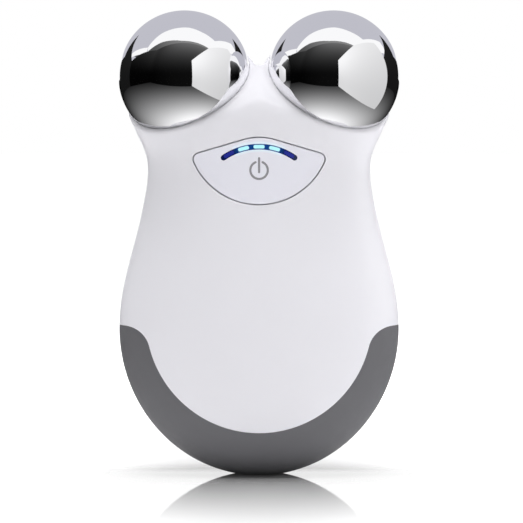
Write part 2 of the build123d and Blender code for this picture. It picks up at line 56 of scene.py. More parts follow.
# An axis leans forward by its first angle and outward by its second.
STEM_LEAN = radians(35.1), radians(24.0)
RIM_LEAN = radians(31.2), radians(26.2)
RIM_DROP = 3.2 * MM  # how far the rims' planes lie below the balls' centres
RIM_RAISE = 0.06 * MM  # how far above those planes the flat cuts are made
RIM_LIP = 0.8 * MM  # width of a rim, outside its ball
CUP_FLOOR = 2.0 * MM
SEAT_CLEARANCE = 0.02 * MM
STEM_RADIUS = 2.0 * MM
STEM_LENGTH = 8.0 * MM

WALL = 2.0 * MM
PARTING_GAP = 0.12 * MM
HOLE_ROOM = 0.08 * MM
GRIP_THICKNESS = 1.0 * MM
GRIP_ARC_RADIUS = 26.0 * MM
GRIP_DIP_HEIGHT = 10.5 * MM  # lowest point of the grip's upper edge
GRIP_SHOULDER_RADIUS = 6.0 * MM
BORE_FILL_RADIUS = 2.0 * MM
SOCKET_SEAT_RADIUS = 3.3 * MM
SOCKET_FLANGE_DEPTH = 1.2 * MM

# The panel's cutter keeps these shares of its size across and up, and is flattened front to back.
PANEL_DRAW_IN = (0.998, 0, 0.996)
FORWARD_SKIN = -0.5  # a face of the outer skin has a normal that points further forward than this
SQUARE_WALL = 0.02  # a wall of the opening has a normal that points back or forward less than this

ROUND_SIDES = 64
ARC_SIDES = 256
BALL_RINGS = 90
MERGE_DISTANCE = 0.001 * MM
SHARP_EDGE = radians(32)

# ---- smoothing: voxel sizes, reaches in metres, and rounds -------------------------------------
SKIN_GRAIN = 0.48 * MM
SKIN_ROUNDS = 3
CORE_GRAIN = 0.9 * MM
ROUND_FACTOR = 0.5  # how far each round moves a point towards its neighbours' middle
CREASE_REACH = 3.5 * MM
CREASE_ROUNDS = 34
WEB_MIDDLE = 87 * MM
WEB_HALF_HEIGHT = 3 * MM
WEB_REACH = 11 * MM
WEB_ROUNDS = 50
RIM_REACH = 2.2 * MM
RIM_ROUNDS = 12
SOFT_LEVELS = 20

# ---- sizes that follow from the frame and from each other --------------------------------------
ball_low, ball_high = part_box("right_sphere")
BALL_RADIUS = (ball_high.x - ball_low.x) / 2
BALL_CENTRE = Vector(((ball_low.x + ball_high.x) / 2, (ball_low.y + ball_high.y) / 2,
                      ball_high.z - BALL_RADIUS))
GRIP_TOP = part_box("base_grip")[1].z

rim_radius = sqrt(BALL_RADIUS**2 - RIM_DROP**2)
cup_reach = BALL_RADIUS + CUP_FLOOR
cup_sink = (cup_reach**2 - RIM_DROP**2 - (rim_radius + RIM_LIP) ** 2) / (2 * (cup_reach - RIM_DROP))
CUP_RADIUS = cup_reach - cup_sink
POCKET_RADIUS = BALL_RADIUS + SEAT_CLEARANCE


def leaning(side, lean):
    """A direction near upright that leans forward and outward by two angles."""
    forward, outward = lean
    return Vector((side * cos(forward) * sin(outward), -sin(forward), cos(forward) * cos(outward)))


def stem_axis(side):
    """Direction from a ball's stem to its centre."""
    return leaning(side, STEM_LEAN)


def rim_axis(side):
    """Direction in which a cup opens."""
    return leaning(side, RIM_LEAN)


def ball_centre(side):
    return Vector((side * BALL_CENTRE.x, BALL_CENTRE.y, BALL_CENTRE.z))


def cup_centre(side):
    """Centre of the larger ball that a cup's outside is part of."""
    return ball_centre(side) - cup_sink * rim_axis(side)


# ---- bench tools -----------------------------------------------------------------------------
def choose(*pieces):
    """Selects these objects alone, the first one active."""
    bpy.ops.object.select_all(action="DESELECT")
    for piece in pieces:
        piece.select_set(True)
    bpy.context.view_layer.objects.active = pieces[0]


def open_mesh(piece, mode="FACE", select="SELECT"):
    """Enters edit mode with everything selected, or nothing."""
    choose(piece)
    bpy.ops.object.mode_set(mode="EDIT")
    bpy.ops.mesh.select_mode(type=mode)
    bpy.ops.mesh.select_all(action=select)


def close_mesh():
    bpy.ops.object.mode_set(mode="OBJECT")


def settle(name):
    """Names the piece just made and moves its place into its mesh."""
    piece = bpy.context.object
    piece.name = name
    piece.data.name = name
    bpy.ops.object.transform_apply(location=True, rotation=True, scale=True)
    return piece


def copy_of(source, name):
    """A free copy of a piece, with its own mesh."""
    piece = source.copy()
    piece.data = source.data.copy()
    piece.name = name
    piece.parent = None
    for key in list(piece.keys()):
        del piece[key]
    bpy.context.scene.collection.objects.link(piece)
    return piece


def merged_copy(node):
    """A copy of a CAD node whose loose triangles are joined into one skin."""
    piece = copy_of(frame["nodes"][node], node + "_copy")
    open_mesh(piece)
    bpy.ops.mesh.remove_doubles(threshold=MERGE_DISTANCE)
    close_mesh()
    return piece


def apply_modifier(piece, kind, **settings):
    choose(piece)
    modifier = piece.modifiers.new(kind.title(), kind)
    for key, value in settings.items():
        setattr(modifier, key, value)
    bpy.ops.object.modifier_apply(modifier=modifier.name)


def combine(piece, tool, operation, keep_tool=False):
    """Joins a tool to a piece or cuts the piece with it, and throws the tool away."""
    apply_modifier(piece, "BOOLEAN", object=tool, operation=operation, solver="MANIFOLD")
    if not keep_tool:
        bpy.data.objects.remove(tool)


def ball(name, centre, radius, axis, rings=ROUND_SIDES):
    """A ball whose poles lie on an axis."""
    turn = UP.rotation_difference(axis).to_euler()
    bpy.ops.mesh.primitive_uv_sphere_add(segments=2 * rings, ring_count=rings, radius=radius,
                                         location=centre, rotation=turn)
    return settle(name)


def rod(name, start, end, radius, sides=ROUND_SIDES):
    """A round bar between two points."""
    start, end = Vector(start), Vector(end)
    turn = UP.rotation_difference(end - start).to_euler()
    bpy.ops.mesh.primitive_cylinder_add(vertices=sides, radius=radius, depth=(end - start).length,
                                        location=(start + end) / 2, rotation=turn)
    return settle(name)


def block(name, low, high):
    """An upright box between its lowest and highest corners."""
    low, high = Vector(low), Vector(high)
    bpy.ops.mesh.primitive_cube_add(size=1, location=(low + high) / 2, scale=high - low)
    return settle(name)


def half_space(name, point, direction):
    """A large block whose near face passes through a point, square to a direction."""
    turn = UP.rotation_difference(direction).to_euler()
    bpy.ops.mesh.primitive_cube_add(size=4 * FAR, location=point + 2 * FAR * direction, rotation=turn)
    return settle(name)


def smooth_shading(piece):
    choose(piece)
    bpy.ops.object.shade_smooth_by_angle(angle=SHARP_EDGE)


# ---- the smooth form of the body and its cups -------------------------------------------------
def melt(form):
    """Remakes the form as one even skin and smooths it all over."""
    apply_modifier(form, "REMESH", mode="VOXEL", voxel_size=SKIN_GRAIN)
    apply_modifier(form, "SMOOTH", factor=ROUND_FACTOR, iterations=SKIN_ROUNDS)


def make_form():
    """The outer form as one closed skin: the flush pieces and two whole cup balls, melted together."""
    flush = ("front_shell", "rear_shell", "base_grip", "button_cap", "indicator_window", "light_guide",
             "power_symbol", "screw_plugs", "charging_socket")
    pieces = [merged_copy(node) for node in flush]
    socket_low, socket_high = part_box("charging_socket")
    inlet_height = (socket_low.z + socket_high.z) / 2
    pieces.append(rod("bore_fill", (0, socket_low.y, inlet_height), (0, socket_high.y, inlet_height),
                      BORE_FILL_RADIUS))
    pieces.extend(ball("cup_ball", cup_centre(side), CUP_RADIUS, rim_axis(side)) for side in SIDES)
    choose(*pieces)
    bpy.ops.object.join()
    form = settle("form")
    melt(form)
    soften_creases(form)
    return form


def soften(form, reach, rounds, off_of):
    """Smooths the skin near a line, less and less out to a reach; off_of says how far a point is from it."""
    group = form.vertex_groups.new(name="soft")
    levels = [[] for _ in range(SOFT_LEVELS + 1)]
    for vertex in form.data.vertices:
        share = max(0, 1 - off_of(vertex.co) / reach)
        eased = share * share * (3 - 2 * share)
        levels[round(SOFT_LEVELS * eased)].append(vertex.index)
    for level, members in enumerate(levels):
        group.add(members, level / SOFT_LEVELS, "REPLACE")
    apply_modifier(form, "SMOOTH", factor=ROUND_FACTOR, iterations=rounds, vertex_group="soft")
    form.vertex_groups.clear()


def soften_creases(form):
    """Blends the creases round the cups and over the web, and leaves the panel and the belly alone."""
    centres = [cup_centre(side) for side in SIDES]

    def off_cups(place):
        return min(abs((place - centre).length - CUP_RADIUS) for centre in centres)

    def off_web(place):
        return sqrt(place.x**2 + max(0, abs(place.z - WEB_MIDDLE) - WEB_HALF_HEIGHT) ** 2)

    soften(form, CREASE_REACH, CREASE_ROUNDS, off_cups)
    soften(form, WEB_REACH, WEB_ROUNDS, off_web)


def round_rims(form):
    """Rounds the outer edges of the two flat rims."""
    melt(form)
    rims = [(ball_centre(side), rim_axis(side)) for side in SIDES]

    def off_rims(place):
        offs = []
        for centre, axis in rims:
            spoke = place - centre
            height = spoke.dot(axis)
            outside = (spoke - height * axis).length - rim_radius - RIM_LIP
            offs.append(sqrt((height + RIM_DROP) ** 2 + outside**2))
        return min(offs)

    soften(form, RIM_REACH, RIM_ROUNDS, off_rims)


def make_core(form, depth):
    """The form shrunk all round by a depth."""
    core = copy_of(form, "core")
    apply_modifier(core, "DISPLACE", strength=-depth, mid_level=0)
    apply_modifier(core, "REMESH", mode="VOXEL", voxel_size=CORE_GRAIN)
    return core


def make_grip_region():
    """Everything below the grip's upper edge: a wide arc between two rounded shoulders."""
    shoulder_height = GRIP_TOP - GRIP_SHOULDER_RADIUS
    arc_height = GRIP_DIP_HEIGHT + GRIP_ARC_RADIUS
    reach = GRIP_ARC_RADIUS + GRIP_SHOULDER_RADIUS
    shoulder_across = sqrt(reach**2 - (arc_height - shoulder_height) ** 2)
    tangent_height = arc_height - (arc_height - shoulder_height) * GRIP_ARC_RADIUS / reach
    region = block("grip_region", (-FAR, -FAR, -FAR), (FAR, FAR, GRIP_TOP))
    middle = block("middle", (-shoulder_across, -2 * FAR, tangent_height), (shoulder_across, 2 * FAR, FAR))
    combine(region, middle, "DIFFERENCE")
    for side in SIDES:
        place = Vector((side * shoulder_across, 0, shoulder_height))
        shoulder = rod("shoulder", place - FAR * BACK, place + FAR * BACK, GRIP_SHOULDER_RADIUS, ARC_SIDES)
        combine(region, shoulder, "UNION")
    arc = rod("arc", (0, -2 * FAR, arc_height), (0, 2 * FAR, arc_height), GRIP_ARC_RADIUS, ARC_SIDES)
    combine(region, arc, "DIFFERENCE")
    return region


def make_panel_opening():
    """A cutter through the front wall, drawn from the edge of the front shell's button opening."""
    cutter = merged_copy("front_shell")
    cap_low, cap_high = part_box("button_cap")
    mesh = cutter.data
    normals_beside = {}
    for face in mesh.polygons:
        for key in face.edge_keys:
            normals_beside.setdefault(key, []).append(face.normal.y)
    open_mesh(cutter, "EDGE", "DESELECT")
    close_mesh()
    for edge in mesh.edges:
        middle = (mesh.vertices[edge.vertices[0]].co + mesh.vertices[edge.vertices[1]].co) / 2
        at_cap = (cap_low.x < middle.x < cap_high.x and cap_low.z < middle.z < cap_high.z
                  and middle.y < cap_high.y)
        outer_skin, opening_wall = sorted(normals_beside[edge.key])
        edge.select = at_cap and outer_skin < FORWARD_SKIN and abs(opening_wall) < SQUARE_WALL
    bpy.ops.object.mode_set(mode="EDIT")
    bpy.ops.mesh.select_all(action="INVERT")
    bpy.ops.mesh.delete(type="EDGE")
    bpy.ops.mesh.select_all(action="SELECT")
    centre = (0, -FAR / 2, (cap_low.z + cap_high.z) / 2)
    bpy.ops.transform.resize(value=PANEL_DRAW_IN, center_override=centre)
    bpy.ops.mesh.edge_face_add()
    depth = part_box("main_board")[0].y + FAR / 2
    bpy.ops.mesh.extrude_region_move(TRANSFORM_OT_translate={"value": (0, depth, 0)})
    bpy.ops.mesh.select_all(action="SELECT")
    bpy.ops.mesh.normals_make_consistent(inside=False)
    close_mesh()
    return cutter


# ---- casing ----------------------------------------------------------------------------------
def open_cups(casing):
    """Cuts the two rims flat."""
    for side in SIDES:
        axis = rim_axis(side)
        rim_place = ball_centre(side) - (RIM_DROP - RIM_RAISE) * axis
        combine(casing, half_space("rim", rim_place, axis), "DIFFERENCE")


def bore_pockets(casing):
    """Bores the pockets that the balls sit in, and the holes for their stems."""
    for side in SIDES:
        axis = stem_axis(side)
        combine(casing, ball("pocket", ball_centre(side), POCKET_RADIUS, axis, BALL_RINGS), "DIFFERENCE")
        stem_end = ball_centre(side) - (BALL_RADIUS + STEM_LENGTH) * axis
        stem_hole = rod("stem_hole", ball_centre(side), stem_end, STEM_RADIUS + HOLE_ROOM)
        combine(casing, stem_hole, "DIFFERENCE")


def bore_inlet(casing, grip):
    """Makes room for the charging socket and its flange in the casing and in the grip."""
    socket_low, socket_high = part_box("charging_socket")
    inlet = (socket_low + socket_high) / 2
    face = Vector((0, socket_high.y, inlet.z))
    for piece in (casing, grip):
        flange = rod("flange_seat", face - SOCKET_FLANGE_DEPTH * BACK, face + FAR * BACK,
                     (socket_high.x - socket_low.x) / 2 + HOLE_ROOM)
        combine(piece, flange, "DIFFERENCE")
        seat = rod("socket_seat", (0, 0, inlet.z), face, SOCKET_SEAT_RADIUS)
        combine(piece, seat, "DIFFERENCE")


def bore_plug_holes(rear):
    """Opens the rear cover for the two screw plugs."""
    plug_low, plug_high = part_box("screw_plugs")
    plug_radius = (plug_high.z - plug_low.z) / 2
    for side in SIDES:
        place = Vector((side * (plug_high.x - plug_radius), 0, (plug_low.z + plug_high.z) / 2))
        hole = rod("plug_hole", place + plug_low.y * BACK, place + FAR * BACK, plug_radius + HOLE_ROOM / 2)
        combine(rear, hole, "DIFFERENCE")


def make_casing():
    """Front cover, rear cover and grip, cut from one smooth form so that they lie flush."""
    form = make_form()
    hollow = make_core(form, WALL)
    for side in SIDES:
        combine(hollow, ball("cup_ball", cup_centre(side), CUP_RADIUS, rim_axis(side)), "DIFFERENCE")
    grip_bed = make_core(form, GRIP_THICKNESS)
    open_cups(form)
    round_rims(form)

    region = make_grip_region()
    grip = copy_of(form, "soft_grip")
    combine(grip, region, "INTERSECT", keep_tool=True)
    combine(grip, grip_bed, "DIFFERENCE", keep_tool=True)
    combine(region, grip_bed, "DIFFERENCE")
    combine(form, region, "DIFFERENCE")
    combine(form, hollow, "DIFFERENCE")
    bore_pockets(form)
    bore_inlet(form, grip)

    front = copy_of(form, "front_cover")
    combine(front, half_space("behind", -PARTING_GAP / 2 * BACK, BACK), "DIFFERENCE")
    combine(front, make_panel_opening(), "DIFFERENCE")
    rear = form
    rear.name = "rear_cover"
    rear.data.name = "rear_cover"
    combine(rear, half_space("ahead", PARTING_GAP / 2 * BACK, -BACK), "DIFFERENCE")
    bore_plug_holes(rear)
    for piece in (front, rear, grip):
        smooth_shading(piece)
    return front, rear, grip


# ---- spheres ---------------------------------------------------------------------------------
def make_sphere(side, name):
    """A polished sphere with the stem that holds it in its cup."""
    centre, axis = ball_centre(side), stem_axis(side)
    piece = ball(name, centre, BALL_RADIUS, axis, BALL_RINGS)
    open_mesh(piece, "FACE", "DESELECT")
    close_mesh()
    for face in piece.data.polygons:
        spoke = face.center - centre
        below = -spoke.dot(axis)
        face.select = below > 0 and sqrt(max(0, spoke.length_squared - below**2)) < STEM_RADIUS
    bpy.ops.object.mode_set(mode="EDIT")
    bpy.ops.mesh.extrude_region_move(TRANSFORM_OT_translate={"value": -STEM_LENGTH * axis})
    close_mesh()
    smooth_shading(piece)
    return piece


# ---- finishes: colours, and the places of the window and its lights ----------------------------
SHELL_COLOUR = (0.86, 0.852, 0.9)
BUTTON_COLOUR = (0.86, 0.857, 0.935)
GRIP_COLOUR = (0.142, 0.141, 0.152)
CHROME_COLOUR = (0.95, 0.95, 0.965)
WINDOW_COLOUR = (0.004, 0.008, 0.07)
PIPE_COLOUR = (0.01, 0.012, 0.08)
WHITE = (1.0, 1.0, 1.0)

WINDOW_RADIUS = 14.3 * MM  # of its centre line
WINDOW_WIDTH = 1.3 * MM
WINDOW_CENTRE = 61.7 * MM  # height of the centre that its arc is drawn from
SPOT_PITCH = radians(14.4) * WINDOW_RADIUS
SPOT_HALF_LENGTH = 1.32 * MM
SPOT_RADIUS = 0.48 * MM
SPOT_FADE = 0.7 * SPOT_RADIUS, 1.15 * SPOT_RADIUS, 1.0, 0.0
LIT_REACH = 5.4 * MM  # how far along the window from its middle the lights are on
LIT_COLOUR = (0.5, 0.95, 0.97)
# painted glow of the segments whose lights are off: blue in each spot, near black between the spots
UNLIT_GLOW_COLOUR = (0.014, 0.022, 0.26)
UNLIT_EDGE_GLOW_COLOUR = (0.002, 0.002, 0.03)
UNLIT_GLOW_STRENGTH = 0.8
SPREAD_COLOUR = (0.003, 0.045, 0.19)
SPREAD_FADE = 0.8 * LIT_REACH, 1.25 * LIT_REACH, 1.0, 0.06
GLOW_COLOUR = (0.1, 0.8, 1.0)
GLOW_REACH = 0.8 * MM
GLOW_STRENGTH = 0.15

CLOUD_SIZE = 12  # of the mottling, counted in grains
CLOUD_DETAIL = 3.0
CLOUD_EASE = 0.3, 0.7
GLOSS_SWING = 0.9, 1.1
MIX_FIRST, MIX_SECOND, MIX_RESULT = 6, 7, 2  # the colour sockets of a Mix node


# ---- finishes: node tools ----------------------------------------------------------------------
def add_node(tree, kind, inputs, **settings):
    """A node with its settings, its values and its links from other nodes' outputs."""
    made = tree.nodes.new(kind)
    for key, value in settings.items():
        setattr(made, key, value)
    for socket, value in inputs.items():
        if isinstance(value, bpy.types.NodeSocket):
            tree.links.new(value, made.inputs[socket])
        else:
            made.inputs[socket].default_value = value
    return made


def calculate(tree, operation, *values):
    return add_node(tree, "ShaderNodeMath", dict(enumerate(values)), operation=operation).outputs[0]


def product(tree, first, *others):
    for other in others:
        first = calculate(tree, "MULTIPLY", first, other)
    return first


def distance(tree, across, along):
    """How far off a point is, from how far it is in two directions square to each other."""
    squares = [product(tree, side, side) for side in (across, along)]
    return calculate(tree, "SQRT", calculate(tree, "ADD", *squares))


def ease(tree, value, start, end, low=0.0, high=1.0):
    """Goes smoothly from low to high as the value goes from start to end."""
    limits = {"Value": value, "From Min": start, "From Max": end, "To Min": low, "To Max": high}
    return add_node(tree, "ShaderNodeMapRange", limits, interpolation_type="SMOOTHSTEP").outputs["Result"]


def blend(tree, share, first, second):
    """Goes from the first colour to the second as the share goes from zero to one."""
    colours = {"Factor": share, MIX_FIRST: first, MIX_SECOND: second}
    return add_node(tree, "ShaderNodeMix", colours, data_type="RGBA").outputs[MIX_RESULT]


def place_of(tree):
    """Where a point of the piece is, in metres."""
    return add_node(tree, "ShaderNodeTexCoord", {}).outputs["Object"]


def parts_of(tree, place):
    """How far across, back and up a place is."""
    return add_node(tree, "ShaderNodeSeparateXYZ", {0: place}).outputs


def grain_of(tree, place, size, detail=2.0):
    """Soft noise whose spots are about a size across."""
    noise = {"Vector": place, "Scale": 1 / size, "Detail": detail}
    return add_node(tree, "ShaderNodeTexNoise", noise).outputs[0]


def rgba(colour):
    return (*colour, 1.0)


# ---- finishes: materials -----------------------------------------------------------------------
def finish(name, colour, roughness, grain, relief, mottle, **sockets):
    """A moulded or milled surface: its colour mottled faintly, its gloss uneven, its skin finely grained."""
    material = bpy.data.materials.new(name)
    material.use_nodes = True
    tree = material.node_tree
    shader = tree.nodes["Principled BSDF"]
    place = place_of(tree)
    fine = grain_of(tree, place, grain)
    cloud = grain_of(tree, place, CLOUD_SIZE * grain, CLOUD_DETAIL)
    darker = tuple(channel * (1 - mottle) for channel in colour)
    gloss = (swing * roughness for swing in GLOSS_SWING)
    tree.links.new(blend(tree, cloud, rgba(darker), rgba(colour)), shader.inputs["Base Color"])
    tree.links.new(ease(tree, cloud, *CLOUD_EASE, *gloss), shader.inputs["Roughness"])
    bump = add_node(tree, "ShaderNodeBump", {"Height": fine, "Strength": 1.0, "Distance": relief})
    tree.links.new(bump.outputs[0], shader.inputs["Normal"])
    for socket, value in sockets.items():
        shader.inputs[socket.replace("_", " ")].default_value = value
    return material


def satin_shell(name, colour):
    return finish(name, colour, 0.34, 0.5 * MM, 0.0015 * MM, 0.012, IOR=1.5)


def soft_touch():
    return finish("soft_touch", GRIP_COLOUR, 0.62, 0.22 * MM, 0.004 * MM, 0.07, IOR=1.45)


def polished_chrome():
    """Mirror plating with the faintest haze."""
    return finish("polished_chrome", CHROME_COLOUR, 0.03, 4 * MM, 0.0, 0.015, Metallic=1.0)


def window_places(tree):
    """How far a point is from the window's centre line, and how far along it from its middle."""
    parts = parts_of(tree, place_of(tree))
    rise = calculate(tree, "SUBTRACT", parts[2], WINDOW_CENTRE)
    radius = distance(tree, parts[0], rise)
    off_arc = calculate(tree, "ABSOLUTE", calculate(tree, "SUBTRACT", radius, WINDOW_RADIUS))
    turn = calculate(tree, "ARCTAN2", calculate(tree, "ABSOLUTE", parts[0]), rise)
    return off_arc, product(tree, turn, WINDOW_RADIUS)


def light_spot(tree):
    """One inside the rounded spot that each light throws on its pipe, zero between the spots."""
    off_arc, along = window_places(tree)
    beside = calculate(tree, "ABSOLUTE", calculate(tree, "WRAP", along, SPOT_PITCH / 2, -SPOT_PITCH / 2))
    past_straight = calculate(tree, "SUBTRACT", beside, SPOT_HALF_LENGTH - SPOT_RADIUS)
    off = distance(tree, calculate(tree, "MAXIMUM", past_straight, 0.0), off_arc)
    return ease(tree, off, *SPOT_FADE), along


def lit_button():
    """The white button skin, with the light that bleeds through it beside the lit window."""
    material = satin_shell("button_skin", BUTTON_COLOUR)
    tree = material.node_tree
    shader = tree.nodes["Principled BSDF"]
    off_arc, along = window_places(tree)
    near = ease(tree, off_arc, WINDOW_WIDTH / 2, WINDOW_WIDTH / 2 + GLOW_REACH, 1.0, 0.0)
    beside = ease(tree, along, LIT_REACH, LIT_REACH + GLOW_REACH, 1.0, 0.0)
    shader.inputs["Emission Color"].default_value = rgba(GLOW_COLOUR)
    tree.links.new(product(tree, near, beside, GLOW_STRENGTH), shader.inputs["Emission Strength"])
    return material


def tinted_window():
    """Dark blue window, brighter where light from the lit segments spreads inside it."""
    material = finish("tinted_window", WINDOW_COLOUR, 0.12, 0.5 * MM, 0.0, 0.2, Coat_Weight=0.5)
    tree = material.node_tree
    shader = tree.nodes["Principled BSDF"]
    along = window_places(tree)[1]
    shader.inputs["Emission Color"].default_value = rgba(SPREAD_COLOUR)
    tree.links.new(ease(tree, along, *SPREAD_FADE), shader.inputs["Emission Strength"])
    return material


def light_pipe():
    """Clear pipes: cyan-white where a light is on behind them, a painted deep-blue glow where it is off."""
    material = finish("light_pipe", PIPE_COLOUR, 0.15, 0.5 * MM, 0.0, 0.1, Coat_Weight=0.4)
    tree = material.node_tree
    shader = tree.nodes["Principled BSDF"]
    spot, along = light_spot(tree)
    lit = calculate(tree, "LESS_THAN", along, LIT_REACH)
    shining = blend(tree, spot, rgba(SPREAD_COLOUR), rgba(LIT_COLOUR))
    # painted blue glow where the lights are off
    resting_glow = blend(tree, spot, rgba(UNLIT_EDGE_GLOW_COLOUR), rgba(UNLIT_GLOW_COLOUR))
    tree.links.new(blend(tree, lit, resting_glow, shining), shader.inputs["Emission Color"])
    tree.links.new(ease(tree, lit, 0.0, 1.0, UNLIT_GLOW_STRENGTH, 1.0), shader.inputs["Emission Strength"])
    return material


# Each row: material slot, name, colour, roughness, grain and relief in millimetres, mottle, other sockets.
PLAIN_FINISHES = (
    ("symbol_grey", "symbol_print", (0.3, 0.29, 0.32), 0.45, 0.2, 0.002, 0.1, {}),
    ("screw_steel", "screw_steel", (0.55, 0.55, 0.57), 0.28, 0.2, 0.004, 0.12, {"Metallic": 1.0}),
    ("silicone", "silicone_rubber", (0.62, 0.62, 0.6), 0.5, 0.3, 0.01, 0.05,
     {"Subsurface_Weight": 0.2, "Subsurface_Scale": 1 * MM}),
    ("contact_brass", "contact_brass", (0.72, 0.52, 0.24), 0.3, 0.3, 0.004, 0.2, {"Metallic": 1.0}),
    ("lead_white", "white_lead", (0.75, 0.75, 0.73), 0.42, 0.3, 0.01, 0.06, {}),
    ("lead_black", "black_lead", (0.02, 0.02, 0.022), 0.4, 0.3, 0.01, 0.2, {}),
    ("lead_red", "red_lead", (0.5, 0.02, 0.018), 0.4, 0.3, 0.01, 0.15, {}),
    ("led_body", "led_body", (0.75, 0.78, 0.66), 0.25, 0.2, 0.002, 0.1, {}),
    ("part_black", "black_mould", (0.018, 0.018, 0.02), 0.42, 0.25, 0.012, 0.25, {}),
    ("plunger_white", "plain_nylon", (0.74, 0.73, 0.69), 0.5, 0.3, 0.008, 0.05, {}),
    ("board_green", "solder_mask", (0.012, 0.13, 0.04), 0.3, 0.8, 0.006, 0.3, {}),
    ("capacitor_tan", "capacitor_tan", (0.42, 0.28, 0.16), 0.45, 0.2, 0.006, 0.12, {}),
    ("chassis_grey", "chassis_nylon", (0.28, 0.28, 0.29), 0.5, 0.4, 0.012, 0.08, {}),
    ("battery_foil", "battery_foil", (0.66, 0.67, 0.69), 0.32, 1.5, 0.03, 0.1, {"Metallic": 0.8}),
    ("foam_grey", "foam_pad", (0.1, 0.1, 0.105), 0.9, 0.35, 0.06, 0.35, {}),
)


def make_finishes():
    """One finish for each material slot of the device."""
    made = {
        "shell_white": satin_shell("satin_shell", SHELL_COLOUR),
        "grip_grey": soft_touch(),
        "sphere_chrome": polished_chrome(),
        "button_white": lit_button(),
        "window_blue": tinted_window(),
        "guide_cyan": light_pipe(),
    }
    for slot, name, colour, roughness, grain, relief, mottle, sockets in PLAIN_FINISHES:
        made[slot] = finish(name, colour, roughness, grain * MM, relief * MM, mottle, **sockets)
    return made


def dress(piece, material):
    """Gives the whole piece one finish."""
    piece.data.materials.clear()
    piece.data.materials.append(material)


# ---- studio: camera, world and floor -----------------------------------------------------------
PICTURE_WIDTH = 121.4 * MM  # what the camera sees across at the place it aims at
CAMERA_DISTANCE = 1.1
CAMERA_LIFT = radians(2.0)
CAMERA_AIM = Vector((0.56 * MM, 0, 49.2 * MM))
CAMERA_SIGHT = 20.0
SENSOR = 36.0  # in millimetres

# Values of ease are start, end, low and high, or start and end alone.
AMBIENT = 0.2
DOME_EDGE = 0.1, 0.14
DOME_GREY = 0.56
DOME_TINT = (0.97, 0.97, 1.07)

FLOOR_HALF = 6.0
FLOOR_DROP = 0.02 * MM
FLOOR_TONE = 0.8
FLOOR_LIFT = 0.06, 0.35, 0.05, 0.95  # light added for the camera, over the distance from the foot
FLOOR_STRETCH = (5.0, 1.0, 1.0)  # makes that distance count more sideways
FLOOR_CONTACT_SHADE = 0.008, 0.035  # the floor near the foot, which is darker for all but the camera: painted shade under the device
CONTACT_TONE = 0.1, 0.9
CONTACT_BOUNCE = 0.1, 1.0
FLOOR_BOUNCE = -0.06, 0.0, 0.3, 0.24  # light that the floor throws up, from front to back
FLOOR_DIMMING = 0.065  # distance at which polished surfaces see the floor at half its light
FLOOR_SHEEN = 1.25
FOOT_SHADE = 0.005, 0.03  # to polished surfaces the floor is black up to the first, whole past the second
REFLECTION_REACH = 0.175  # how far in front of the foot the camera sees it mirrored
REFLECTION_SHARE = 1.2
FOOT_REACH = 0.03  # how far behind it and beside it
MIRROR_ROUGHNESS = 0.03
ACRYLIC_IOR = 1.5

# ---- studio: lamps -----------------------------------------------------------------------------
LAMP_AIM = Vector((0, 0, 55 * MM))
LAMP_DISTANCE = 0.8
LAMP_SIZE = 0.5
# Each row: name, azimuth from the camera towards +X and lift above level in degrees, power in watts.
LAMPS = (
    ("overhead_lamp", 0, 84, 5.7),
    ("front_lamp", 0, -5, 0.9),
    ("right_lamp", 95, 10, 2.1),
    ("rear_right_lamp", 130, 20, 1.7),
    ("left_lamp", -45, 5, 0.3),
    ("rear_left_lamp", -130, 20, 1.4),
)

# ---- studio: the light of each kind of card, and the cards' outlines ---------------------------
X, Y, Z = range(3)
CEILING = 0.6
# Each light is a product of fades: the axis that a fade runs along, then its values of ease.
CARD_LIGHTS = {
    "overhead_white": ((Z, 0.0, CEILING, 0.9, 1.0),),
    "side_white": ((Z, 0.03, 0.22, 0.74, 1.0), (Y, -0.2, 0.02, 1.0, 0.86)),
    "dark_wall": ((Z, 0.1, 0.75, 0.004, 0.17), (X, -0.45, 0.05, 0.25, 1.0)),
    "dark_ceiling": ((Y, -0.6, -0.25, 0.12, 0.24), (X, -0.6, 0.05, 0.35, 1.0)),
    "black_flag": ((Z, 0.0, 0.4, 0.008, 0.016),),
}
# Each row: name, light, then its corners across and back, all at the ceiling.
OVERHEAD_CARDS = (
    ("overhead_softbox", "overhead_white", (-0.75, -0.13), (-0.35, -0.17), (-0.05, -0.25), (0.2, -0.26),
     (0.42, -0.28), (0.95, -0.1), (0.95, 0.1), (0.42, -0.02), (0.18, 0.0), (0.03, 0.03), (-0.28, 0.02),
     (-0.66, -0.04)),
    ("left_wing", "overhead_white", (-0.874, -0.152), (-0.66, -0.04), (-1.168, 0.65), (-1.458, 0.72)),
    ("right_wing", "overhead_white", (0.42, -0.02), (0.95, 0.1), (1.25, 0.72), (0.7, 0.46)),
    ("dark_ceiling", "dark_ceiling", (-1.3, -0.8), (0.7, -0.8), (0.42, -0.28), (0.2, -0.26),
     (-0.05, -0.25), (-0.35, -0.17), (-0.75, -0.13), (-0.874, -0.152), (-1.3, 0.45)),
)
SIDE_SOFTBOX = ((0.049, -0.338, 0.002), (0.13, 0.02, 0.002), (0.13, 0.02, 0.185), (0.106, -0.086, 0.233),
                (0.049, -0.338, 0.25))
# Each row: name, light, azimuth in degrees and distance of its two ends, its heights there.
WALLS = (
    ("front_wall", "dark_wall", (-62, 0.62), (60, 0.62), (CEILING, CEILING)),
    ("left_wall", "dark_wall", (-109, 0.55), (-62, 0.62), (0.24, CEILING)),
    ("left_flag", "black_flag", (-141, 0.55), (-109, 0.55), (0.39, 0.24)),
    ("left_flag_end", "black_flag", (-152, 0.55), (-141, 0.55), (0.15, 0.2)),
    ("right_flag", "black_flag", (95, 0.55), (141, 0.55), (0.24, 0.39)),
    ("right_flag_end", "black_flag", (141, 0.55), (152, 0.55), (0.2, 0.15)),
)


# ---- studio: making it -------------------------------------------------------------------------
def bare_material(name):
    """A material with nothing yet between its nodes and its output."""
    material = bpy.data.materials.new(name)
    material.use_nodes = True
    material.node_tree.nodes.remove(material.node_tree.nodes["Principled BSDF"])
    return material


